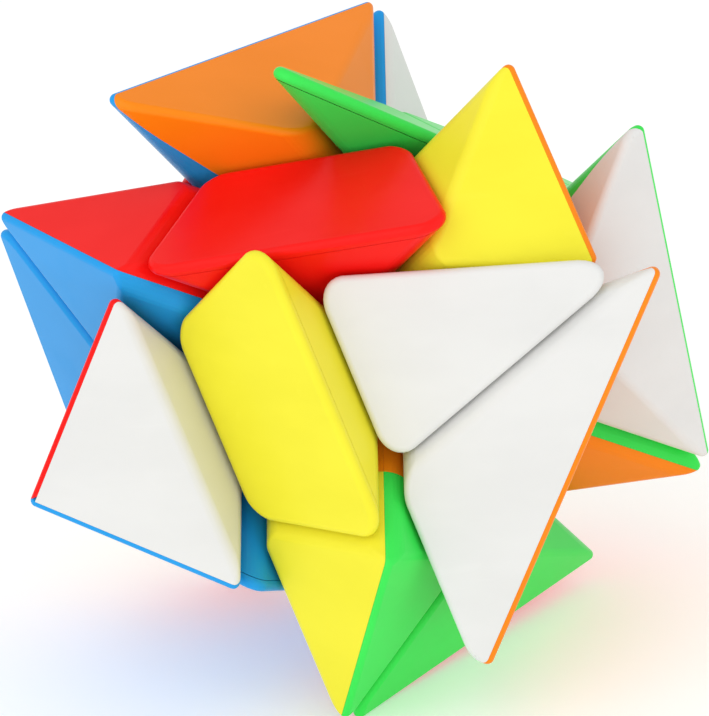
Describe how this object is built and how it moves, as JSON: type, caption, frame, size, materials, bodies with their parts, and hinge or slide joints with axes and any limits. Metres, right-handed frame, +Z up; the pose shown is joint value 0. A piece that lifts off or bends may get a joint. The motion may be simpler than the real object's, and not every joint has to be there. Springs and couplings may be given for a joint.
{
  "type": "axis cube twisty puzzle",
  "caption": "Cube-shaped turning puzzle whose outer cube is skewed against its layers, standing mid-turn as a spiky cluster of coloured shells.",
  "frame": {"origin": "on the ground, under the middle of the puzzle's bounding box, standing on three of its tips as the picture shows it", "axes": "+Z up; -Y towards the viewer of the picture; +X to that viewer's right. The turning axis of the three stacked layers leans: from the upper layer to the lower one it points down and towards the viewer."},
  "size_m": [0.0862, 0.0742, 0.0776],
  "materials": {
    "white_plastic": "smooth semi-gloss moulded",
    "red_plastic": "smooth semi-gloss moulded",
    "blue_plastic": "smooth semi-gloss moulded",
    "yellow_plastic": "smooth semi-gloss moulded",
    "orange_plastic": "smooth semi-gloss moulded",
    "green_plastic": "smooth semi-gloss moulded",
    "core_nylon": "matt moulded",
    "screw_steel": "zinc plated",
    "spring_steel": "drawn wire"
  },
  "bodies": {
    "middle_slice": {"edge_orange": "orange_plastic", "centre_orange_green.orange_shell": "orange_plastic", "centre_orange_green.green_shell": "green_plastic", "edge_white_green.white_shell": "white_plastic", "edge_white_green.green_shell": "green_plastic", "centre_yellow_orange.yellow_shell": "yellow_plastic", "centre_yellow_orange.orange_shell": "orange_plastic", "centre_white_red.white_shell": "white_plastic", "centre_white_red.red_shell": "red_plastic", "edge_blue_yellow.blue_shell": "blue_plastic", "edge_blue_yellow.yellow_shell": "yellow_plastic", "centre_red_blue.red_shell": "red_plastic", "centre_red_blue.blue_shell": "blue_plastic", "edge_red": "red_plastic", "core": "core_nylon", "screw_x_minus": "screw_steel", "spring_x_minus": "spring_steel", "screw_y_minus": "screw_steel", "spring_y_minus": "spring_steel", "screw_z_minus": "screw_steel", "spring_z_minus": "spring_steel", "screw_z_plus": "screw_steel", "spring_z_plus": "spring_steel", "screw_y_plus": "screw_steel", "spring_y_plus": "spring_steel", "screw_x_plus": "screw_steel", "spring_x_plus": "spring_steel"},
    "upper_layer": {"corner_yellow_orange_green.yellow_shell": "yellow_plastic", "corner_yellow_orange_green.orange_shell": "orange_plastic", "corner_yellow_orange_green.green_shell": "green_plastic", "edge_green": "green_plastic", "corner_green": "green_plastic", "edge_blue_orange.blue_shell": "blue_plastic", "edge_blue_orange.orange_shell": "orange_plastic", "centre_white_blue.white_shell": "white_plastic", "centre_white_blue.blue_shell": "blue_plastic", "edge_white": "white_plastic", "corner_yellow": "yellow_plastic", "edge_red_yellow.red_shell": "red_plastic", "edge_red_yellow.yellow_shell": "yellow_plastic", "corner_red": "red_plastic"},
    "lower_layer": {"corner_orange": "orange_plastic", "edge_white_orange.white_shell": "white_plastic", "edge_white_orange.orange_shell": "orange_plastic", "corner_white": "white_plastic", "edge_yellow": "yellow_plastic", "centre_yellow_green.yellow_shell": "yellow_plastic", "centre_yellow_green.green_shell": "green_plastic", "edge_red_green.red_shell": "red_plastic", "edge_red_green.green_shell": "green_plastic", "corner_blue": "blue_plastic", "edge_blue": "blue_plastic", "corner_white_red_blue.white_shell": "white_plastic", "corner_white_red_blue.red_shell": "red_plastic", "corner_white_red_blue.blue_shell": "blue_plastic"}
  },
  "joints": [
    {"name": "upper_layer_turn", "type": "hinge", "parent": "middle_slice", "child": "upper_layer", "pos_m": [0, 0.00003, 0.03871], "axis": [-0.0442, -0.7876, -0.6146], "continuous": true},
    {"name": "lower_layer_turn", "type": "hinge", "parent": "middle_slice", "child": "lower_layer", "pos_m": [0, 0.00003, 0.03871], "axis": [-0.0442, -0.7876, -0.6146], "continuous": true}
  ]
}
